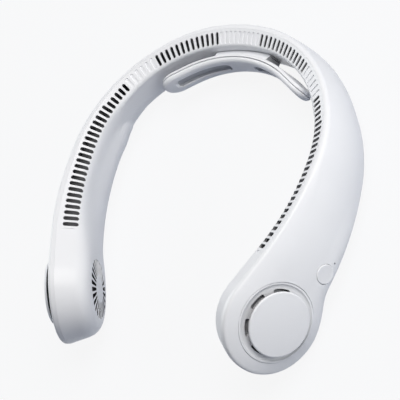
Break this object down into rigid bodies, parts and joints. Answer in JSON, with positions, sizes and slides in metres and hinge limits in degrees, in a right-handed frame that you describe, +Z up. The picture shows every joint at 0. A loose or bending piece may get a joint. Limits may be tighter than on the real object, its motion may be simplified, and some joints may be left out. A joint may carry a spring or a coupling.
{
  "type": "neckband fan",
  "caption": "Wearable neckband fan: a U-shaped shell band with a centrifugal fan in each round end, a slotted air strip, intake caps, inner grilles, a power button and a curved neck pad.",
  "frame": {"origin": "bottom centre of the bounding box, with the fan put down on a table", "axes": "+Z up; the open end of the U faces -Y and the neck pad is at +Y; +X is the wearer's left, the side with the power button"},
  "size_m": [0.1898, 0.198, 0.0575],
  "materials": {
    "white_shell": "satin white moulded plastic",
    "white_trim": "satin white moulded plastic",
    "soft_pad": "matt pale grey silicone",
    "pale_impeller": "moulded pale plastic",
    "dark_plastic": "black moulded plastic",
    "magnet": "sintered magnet",
    "cable": "sleeved wires",
    "steel": "plain steel",
    "bush_bronze": "sintered bronze",
    "winding": "enamelled copper wire",
    "board": "solder mask",
    "cell_foil": "foil pouch",
    "light_pipe": "clear plastic"
  },
  "bodies": {
    "band": {"outer_shell": "white_shell", "inner_shell": "white_shell", "neck_pad_plate": "white_trim", "neck_pad_bracket": "white_trim", "left_intake_dish": "white_trim", "right_intake_dish": "white_trim", "left_intake_cap": "white_trim", "right_intake_cap": "white_trim", "neck_pad_cushion": "soft_pad", "tact_switch": "dark_plastic", "left_motor_plate": "dark_plastic", "right_motor_plate": "dark_plastic", "left_duct_partition": "dark_plastic", "right_duct_partition": "dark_plastic", "wiring_loom": "cable", "usb_c_port": "steel", "bracket_screw_1": "steel", "bracket_screw_2": "steel", "left_motor_screw_1": "steel", "left_motor_screw_2": "steel", "right_motor_screw_1": "steel", "right_motor_screw_2": "steel", "left_motor_bush": "bush_bronze", "right_motor_bush": "bush_bronze", "left_motor_stator": "winding", "right_motor_stator": "winding", "main_circuit_board": "board", "left_battery_cell": "cell_foil", "right_battery_cell": "cell_foil", "indicator_light_pipe": "light_pipe"},
    "left_rotor": {"left_impeller": "pale_impeller", "left_motor_shaft": "steel", "left_rotor_magnet": "magnet"},
    "right_rotor": {"right_impeller": "pale_impeller", "right_motor_shaft": "steel", "right_rotor_magnet": "magnet"},
    "button": {"power_button": "white_trim", "switch_plunger": "dark_plastic"}
  },
  "joints": [
    {"name": "left_rotor_spin", "type": "hinge", "parent": "band", "child": "left_rotor", "pos_m": [0.06995, -0.06961, 0.02891], "axis": [0.8793, -0.2965, 0.3728], "continuous": true},
    {"name": "right_rotor_spin", "type": "hinge", "parent": "band", "child": "right_rotor", "pos_m": [-0.06995, -0.06961, 0.02891], "axis": [-0.8793, -0.2965, 0.3728], "continuous": true},
    {"name": "power_button_press", "type": "slide", "parent": "band", "child": "button", "axis": [-0.9269, 0.2468, -0.2829], "range_m": [0, 0.0005], "stiffness_N_per_m": 2500}
  ]
}
